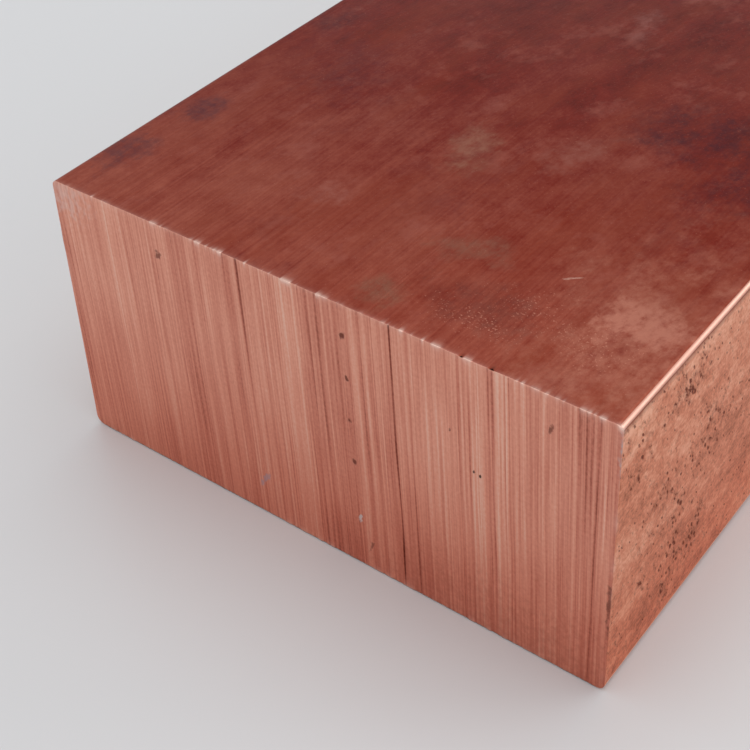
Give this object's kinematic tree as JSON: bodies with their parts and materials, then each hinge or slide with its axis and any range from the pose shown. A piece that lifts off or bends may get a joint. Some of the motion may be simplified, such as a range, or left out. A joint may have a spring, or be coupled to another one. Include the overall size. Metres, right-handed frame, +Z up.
{
  "type": "copper flat bar",
  "caption": "Short cut length of thick, solid copper flat bar with sawn ends and rounded long edges, lying on its wide face.",
  "frame": {"origin": "middle of the underside, on the surface that the bar lies on", "axes": "+Z up through the thickness, +Y along the bar, +X across its width"},
  "size_m": [0.1, 0.3, 0.05],
  "materials": {
    "copper": "Bare drawn copper, dulled to red-brown on the wide faces, pinker and pitted on the sides, with matt band-sawn ends"
  },
  "bodies": {
    "root": {"copper_bar": "copper"}
  },
  "joints": []
}
